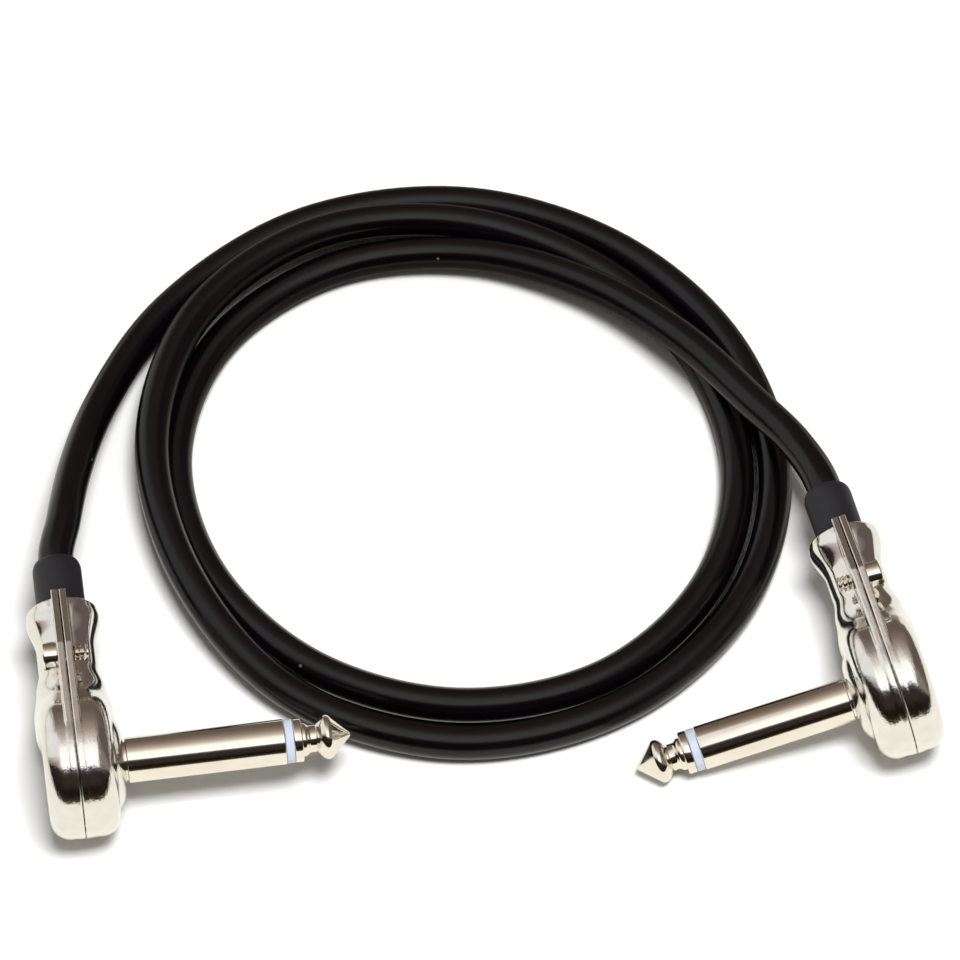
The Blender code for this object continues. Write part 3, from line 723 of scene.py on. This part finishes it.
# %% Sleeve, insulator and tip
JACK_RADIUS = 3.175
JACK_REAR = 2.9                   # behind the casting's wall, where the sleeve is spread
SLEEVE_BORE = 2.4
SLEEVE_NECK = 2.8                 # its radius in the casting's hole
INSULATOR_BORE = 1.3
ROD_RADIUS = 1.0
RING_RADIUS = 3.06
COLLAR_RADIUS = 3.07
GROOVE_RADIUS = 1.93
RING_START = 28.55
COLLAR_START = 29.7
GROOVE_START = 30.95
BALL_CREST = 34.4


def sleeve_profile():
    shoulder = BOSS_FACE + 0.3
    front = RING_START - 0.04
    corners = [(JACK_REAR, SLEEVE_BORE), (JACK_REAR, 3.7), (3.4, 3.7), (3.4, SLEEVE_NECK),
               (shoulder, SLEEVE_NECK), (shoulder, JACK_RADIUS), (front, JACK_RADIUS),
               (front, SLEEVE_BORE)]
    return rounded(corners, {5: 0.18, 6: 0.12})


def insulator_profile():
    corners = [(JACK_REAR, INSULATOR_BORE), (JACK_REAR, 2.1), (RING_START, 2.1),
               (RING_START, RING_RADIUS), (COLLAR_START, RING_RADIUS),
               (COLLAR_START, INSULATOR_BORE)]
    return rounded(corners, {3: 0.1, 4: 0.1})


def tip_profile():
    start = COLLAR_START + 0.04
    rivet_and_rod = [(0.3, 0), (0.3, 1.9), (0.8, 1.9), (0.8, ROD_RADIUS), (start, ROD_RADIUS)]
    collar = [(start, COLLAR_RADIUS), (GROOVE_START, COLLAR_RADIUS)]
    neck = [(GROOVE_START, 2.35), (GROOVE_START + 0.35, 2.35)]
    front = rounded(rivet_and_rod + collar + neck, {5: 0.14, 6: 0.2})
    groove = eased(neck[-1], (32.1, GROOVE_RADIUS), 8)[1:]
    back = [(32.85 + (BALL_CREST - 32.85) * share,
             GROOVE_RADIUS + 1.195 * math.sin(math.pi / 2 * share))
            for share in np.linspace(0, 1, 16)]
    crest = arc((BALL_CREST, 2.225), 0.9, 90, 45, 8)[1:]
    foot = crest[-1]
    point = arc((foot[0] + foot[1] - 0.566, 0), 0.4, 45, 0, 5)
    return front + groove + back + crest + point[:-1] + [(point[-1][0], 0)]


def ring_plastic(tree):
    where = tree.object_place()
    cloud = tree.noise(where, 700, 2)
    return {"Base Color": cloud.above(0.3, 0.4).mixed((0.55, 0.61, 0.75), (0.62, 0.68, 0.80)),
            "Roughness": cloud * 0.15 + 0.25}


ring_look = new_material("pale_insulating_ring", {"Base Color": (0.7, 0.75, 0.88)},
                         ring_plastic)
for node, profile, look, slot in (
        ("jack_sleeve", sleeve_profile(), jack_nickel, "nickel_plated_brass"),
        ("jack_insulator", insulator_profile(), ring_look, "white_insulator"),
        ("jack_tip", tip_profile(), jack_nickel, "nickel_plated_brass")):
    mesh = lathe(profile)
    for side in PLUGS:
        made = place(mesh, "%s_%s_turned" % (side, node), side, look,
                     "%s_%s" % (side, node))
        made.data.set_sharp_from_angle(angle=math.radians(38))
    print(node, len(mesh.polygons), "faces")


# %% [markdown]
# ## Heat-shrink
#
# A short piece of heat-shrink covers the cable where it leaves the neck. It is charcoal
# rather than black, quite matt, and where its end has shrunk past the edge it closes on the
# cable in a soft shoulder.

# %% Heat-shrink
def shrink_recipe(tree):
    where = tree.object_place()
    grain = tree.noise(where, 2400, 3, 0.6)
    cloud = tree.noise(where, 300, 2)
    colour = cloud.above(0.3, 0.4).mixed((0.0080, 0.0074, 0.0094), (0.0120, 0.0112, 0.0136))
    return {"Base Color": colour, "Roughness": cloud * 0.1 + 0.5,
            "Normal": tree.bumped(grain, 0.25, 0.03 * mm)}


shrink_look = new_material("heat_shrink_charcoal", {"Base Color": (0.02, 0.02, 0.022)},
                           shrink_recipe)


SHRINK_START = 19.2
SHRINK_RADIUS = 3.45
SHRINK_BORE_RADIUS = 2.56
SHRINK_EDGE_RADIUS = 2.72         # where its end closes on the cable
SHRINK_SHOULDER = 1.6


def shrink_profile():
    end, shoulder, edge = SHRINK_END / mm, SHRINK_SHOULDER, SHRINK_EDGE_RADIUS
    close = [(end + shoulder * (math.sin(a) - 1), edge + (SHRINK_RADIUS - edge) * math.cos(a))
             for a in np.linspace(0, math.pi / 2, 12)]
    return ([(SHRINK_START, SHRINK_BORE_RADIUS), (SHRINK_START, SHRINK_RADIUS)] + close
            + [(end, SHRINK_BORE_RADIUS)])


mesh = lathe(shrink_profile(), along_y=True)
for side in PLUGS:
    made = place(mesh, side + "_shrink_sleeve", side, shrink_look, side + "_heat_shrink")
    made.data.set_sharp_from_angle(angle=math.radians(38))
print("heat-shrink", len(mesh.polygons), "faces")


# %% [markdown]
# ## Clamp screws
#
# Two small cheese-head screws pull the halves together. From the cover side one sees the
# slotted head, from the other side the end of the thread. The head is turned and then
# slotted with a Boolean; the thread is a grid wrapped round the axis whose radius follows a
# slanted zigzag, which is exactly what a thread is.

# %% Screws
HEAD_RADIUS = 1.95
HEAD_HEIGHT = 2.1
STUB_RADIUS = 1.0                 # the plain stub between head and thread
STUB_LENGTH = 1.0
SLOT = (1.8, 6, 0.7)              # the slot's cutter: through the top, across, wide
THREAD_REACH = 2.15               # beyond the far lip


def screw_head_mesh():
    seat = SEAM - SEAM_GAP / 2 - LIP_THICKNESS - 0.05
    top = seat - HEAD_HEIGHT
    corners = [(top, 0), (top, HEAD_RADIUS), (seat, HEAD_RADIUS), (seat, STUB_RADIUS),
               (seat + STUB_LENGTH, STUB_RADIUS), (seat + STUB_LENGTH, 0)]
    return lathe(rounded(corners, {1: 0.3, 2: 0.08}), sides=64), top


def cut_slot(mesh, top):
    shape = bpy.data.objects.new("head", mesh)
    bm = bmesh.new()
    bmesh.ops.create_cube(bm, size=1)
    bmesh.ops.scale(bm, vec=SLOT, verts=bm.verts)
    bmesh.ops.translate(bm, vec=(top, 0, 0), verts=bm.verts)
    tool_mesh = bpy.data.meshes.new("slot")
    bm.to_mesh(tool_mesh)
    bm.free()
    tool = bpy.data.objects.new("slot", tool_mesh)
    for made in (shape, tool):
        bpy.context.scene.collection.objects.link(made)
    cut = shape.modifiers.new("slot", "BOOLEAN")
    cut.operation = "DIFFERENCE"
    cut.object = tool
    made = bpy.data.meshes.new_from_object(
        shape.evaluated_get(bpy.context.evaluated_depsgraph_get()))
    for used in (shape, tool):
        bpy.data.objects.remove(used, do_unlink=True)
    return made


def thread_mesh(start, end, radius=1.25, depth=0.3, pitch=0.65, around=48):
    """A threaded bar along X: a grid of rings whose radius is a slanted zigzag."""
    bm = bmesh.new()
    steps = int((end - start) / pitch * 10)
    rings = []
    for step in range(steps + 1):
        along = start + (end - start) * step / steps
        taper = min(1, (end - along) / 0.3)
        ring = []
        for part in range(around):
            angle = 2 * math.pi * part / around
            phase = (along / pitch + part / around) % 1
            here = radius - depth * (1 - abs(2 * phase - 1)) - 0.25 * (1 - taper)
            ring.append(bm.verts.new((along, here * math.cos(angle),
                                      here * math.sin(angle))))
        rings.append(ring)
    for ring, following in zip(rings, rings[1:]):
        for part in range(around):
            bm.faces.new((ring[part], ring[part - 1], following[part - 1], following[part]))
    bm.faces.new(rings[0])
    bm.faces.new(rings[-1])
    bmesh.ops.recalc_face_normals(bm, faces=bm.faces)
    mesh = bpy.data.meshes.new("thread")
    bm.to_mesh(mesh)
    bm.free()
    return mesh


head_mesh, head_top = screw_head_mesh()
head_mesh = cut_slot(head_mesh, head_top)
shank_mesh = thread_mesh(head_top + HEAD_HEIGHT + STUB_LENGTH + 0.05,
                         SEAM + SEAM_GAP / 2 + LIP_THICKNESS + THREAD_REACH)


def place_screw(side, name, z, slot_turn):
    """Head and thread of one screw, joined as one piece."""
    bm = bmesh.new()
    for part in (head_mesh, shank_mesh):
        bm.from_mesh(part)
    joined = bpy.data.meshes.new("screw")
    bm.to_mesh(joined)
    bm.free()
    joined.transform(Matrix.Translation((0, SCREW_Y, z)) @ Matrix.Rotation(slot_turn, 4, "X"))
    made = place(joined, "%s_%s_slotted" % (side, name), side, screw_nickel,
                 "%s_%s" % (side, name))
    made.data.set_sharp_from_angle(angle=math.radians(40))
    return made


screw_nickel = new_material("nickel_on_screws", {"Base Color": (0.82, 0.77, 0.66),
                                                 "Metallic": 1.0}, turned_nickel)
for side, up in (("left", 1), ("right", -1)):
    place_screw(side, "upper_clamp_screw", SCREW_Z * up, math.radians(20))
    place_screw(side, "lower_clamp_screw", -SCREW_Z * up, math.radians(-35))
print("screws: head", len(head_mesh.polygons), "thread", len(shank_mesh.polygons), "faces")


# %% [markdown]
# ## The parts inside
#
# The washer, tag, solder, wire and screen are hidden in a closed plug, so their CAD shapes
# stay. They still get their own finish, for anyone who opens the model.

# %% Finishes for the hidden parts
def mottled(light, dark, scale, low, spread):
    """A recipe for a plain stuff: two near tones in soft clouds, and uneven gloss."""
    def recipe(tree):
        where = tree.object_place()
        cloud = tree.noise(where, scale, 3)
        return {"Base Color": cloud.above(0.35, 0.3).mixed(dark, light),
                "Roughness": cloud * spread + low}
    return recipe


HIDDEN = {
    "rear_washer": ("vulcanised_fibre", (0.26, 0.13, 0.07), (0.20, 0.10, 0.05), 900, 0.0),
    "solder_tag": ("tinned_brass_tag", (0.78, 0.73, 0.60), (0.70, 0.66, 0.55), 700, 1.0),
    "tip_solder": ("bright_solder", (0.70, 0.70, 0.71), (0.60, 0.60, 0.62), 900, 1.0),
    "shield_solder": ("screen_solder", (0.70, 0.70, 0.71), (0.60, 0.60, 0.62), 900, 1.0),
    "core_insulation": ("milky_polythene", (0.85, 0.85, 0.83), (0.78, 0.78, 0.76), 500, 0.0),
    "signal_wire": ("copper_wire", (0.86, 0.46, 0.28), (0.74, 0.38, 0.22), 1500, 1.0),
    "shield_pigtail": ("tinned_screen_wire", (0.74, 0.70, 0.64), (0.64, 0.60, 0.55), 2500, 1.0),
}
for node, (name, light, dark, scale, metal) in HIDDEN.items():
    look = new_material(name, {"Base Color": light, "Metallic": metal},
                        mottled(light, dark, scale, 0.3, 0.25))
    for side in PLUGS:
        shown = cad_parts["%s_%s" % (side, node)]
        shown.data.materials.clear()
        shown.data.materials.append(look)
print("hidden parts finished:", len(HIDDEN) * 2)


# %% [markdown]
# ## Table
#
# The picture has a pure white ground with soft grey shadows. A large white sheet gives
# both: lit at a plain level it is just white, and it stays grey where the plugs and the
# cable keep the light away. Where two strands lie close, its colour is painted dark as
# shade. The metal mirrors the same sheet, which makes its cream undersides, but in the
# mirror the sheet's colour is painted: a little creamy, and brown far behind the set as
# painted shade.

# %% White table
TABLE_HALF_WIDTH = 3.0
TABLE_HEIGHT = -0.05 * mm         # just under the pieces that stand on it
PAINTED_GAP_SHADE_REACH = 6 * mm                # how near two strands stand for painted shade on the cloth between them


def table_recipe(tree):
    """White to the eye. For the metal's mirror its colour is painted: a little creamy, and
    brown far behind the set as painted shade, in a strip that widens with the distance. Between
    close strands the cloth is painted dark as shade."""
    side, depth, _ = tree.node("ShaderNodeNewGeometry", output="Position").parts()
    beside = side.size() - depth * 0.25
    # painted shade in the mirror: the cloth far behind the set is painted brown for reflections
    # only
    behind = depth.above(0.03, 0.03) * (1 - beside.above(0.050, 0.012))
    cloth_in_mirror_painted = behind.mixed((0.85, 0.845, 0.80), (0.24, 0.21, 0.18))
    # painted shade: where two strands lie close, as if they touched, the cloth is painted dark;
    # no light would get down to it
    gap_openness_for_painted_shade = tree.node("ShaderNodeAmbientOcclusion", {"samples": 12},
                         {"Distance": PAINTED_GAP_SHADE_REACH}, output="AO")
    white = gap_openness_for_painted_shade.above(0.16, 0.16).mixed((0.0, 0.0, 0.0), (0.95, 0.95, 0.95))
    return {"Base Color": tree.ray_is("Glossy").mixed(white, cloth_in_mirror_painted)}


def add_table():
    bm = bmesh.new()
    bmesh.ops.create_grid(bm, x_segments=1, y_segments=1, size=TABLE_HALF_WIDTH)
    mesh = bpy.data.meshes.new("table")
    bm.to_mesh(mesh)
    bm.free()
    table = bpy.data.objects.new("table", mesh)
    bpy.context.scene.collection.objects.link(table)
    table.location = (0, 0, TABLE_HEIGHT)
    look = new_material("white_table", {"Roughness": 0.9, "Specular IOR Level": 0.0},
                        table_recipe)
    mesh.materials.append(look)
    return table


table = add_table()
print("table", table.dimensions[:])


# %% [markdown]
# ## Light tent
#
# Bright metal is photographed in a tent: white sides, a softbox overhead, and a dark gap
# towards the camera. The world holds the tent as a colour for each direction. Seen from the
# plugs, the softbox lies from straight overhead to 60 degrees up in front, the cloth behind
# it fades from white to a warm grey, and the room in front is almost black.

# %% World as a light tent
# colours by direction in the upright plane from front to back: (share of half a turn, colour)
TENT_MIDDLE = [
    (0.000, (0.08, 0.06, 0.04)), (0.060, (0.012, 0.008, 0.005)), (0.115, (0.012, 0.008, 0.006)),
    (0.165, (0.035, 0.027, 0.022)), (0.255, (0.035, 0.028, 0.026)), (0.300, (0.10, 0.09, 0.10)),
    (0.330, (1.5, 1.5, 1.5)), (0.500, (1.2, 1.2, 1.18)), (0.550, (0.82, 0.77, 0.72)),
    (0.600, (0.58, 0.50, 0.46)), (0.656, (0.41, 0.35, 0.32)), (0.715, (0.285, 0.235, 0.21)),
    (0.775, (0.215, 0.177, 0.155)), (0.840, (0.170, 0.132, 0.112)),
    (0.920, (0.14, 0.11, 0.088)), (1.000, (0.17, 0.14, 0.11)),
]
TENT_LEFT = [
    (0.000, (0.08, 0.06, 0.04)), (0.060, (0.015, 0.010, 0.007)), (0.290, (0.030, 0.024, 0.022)),
    (0.335, (0.45, 0.38, 0.36)), (0.375, (0.56, 0.50, 0.49)), (0.415, (0.92, 0.93, 0.96)),
    (1.000, (0.95, 0.93, 0.90)),
]
TENT_RIGHT = [
    (0.000, (0.08, 0.06, 0.04)), (0.060, (0.015, 0.010, 0.007)), (0.270, (0.035, 0.028, 0.026)),
    (0.330, (0.25, 0.22, 0.20)), (0.500, (0.25, 0.22, 0.20)), (0.600, (0.135, 0.105, 0.10)),
    (1.000, (0.14, 0.11, 0.10)),
]
ROOM_LIGHT = (0.235, 0.225, 0.21)  # what fills the shadows

SOFTBOX_PLACE = (0.10, -0.21, 0.95)
SOFTBOX_AIM = (0, 0.03, 0)
SOFTBOX_SIZE = (0.32, 0.25)
SOFTBOX_POWER = 9.9


def add_tent():
    world = bpy.data.worlds.new("light_tent")
    bpy.context.scene.world = world
    tree = Tree(world)
    side, depth, height = tree.node("ShaderNodeTexCoord", output="Generated").parts()
    sweep = tree.node("ShaderNodeMath", {"operation": "ARCTAN2"}, {0: height, 1: 0 - depth})
    share = sweep / math.pi
    middle, left, right = (tree.node("ShaderNodeValToRGB", {"stops": stops}, {0: share})
                           for stops in (TENT_MIDDLE, TENT_LEFT, TENT_RIGHT))
    # the left wall stands wider apart behind the set than in front of it
    wall = share.above(0.60, 0.08) * 0.28 + 0.16
    tent = (0 - side).above(wall, 0.24).mixed(middle, left)
    tent = side.above(0.34, 0.22).mixed(tent, right)
    light = tree.ray_is("Glossy").mixed(ROOM_LIGHT, tent)
    colour = tree.ray_is("Camera").mixed(light, (1.0, 1.0, 1.0))
    tree.put(tree.nodes["Background"].inputs["Color"], colour)
    return world


def add_softbox():
    data = bpy.data.lights.new("softbox_overhead", "AREA")
    data.shape = "RECTANGLE"
    data.size, data.size_y = SOFTBOX_SIZE
    data.energy = SOFTBOX_POWER
    lamp = bpy.data.objects.new("softbox_overhead", data)
    bpy.context.scene.collection.objects.link(lamp)
    direction = Vector(SOFTBOX_AIM) - Vector(SOFTBOX_PLACE)
    lamp.matrix_world = (Matrix.Translation(SOFTBOX_PLACE)
                         @ direction.to_track_quat("-Z", "Y").to_matrix().to_4x4())
    lamp.visible_glossy = False
    lamp.visible_camera = False
    return lamp


add_tent()
add_softbox()
bpy.context.scene.view_settings.view_transform = "Standard"
print("light tent and softbox set")
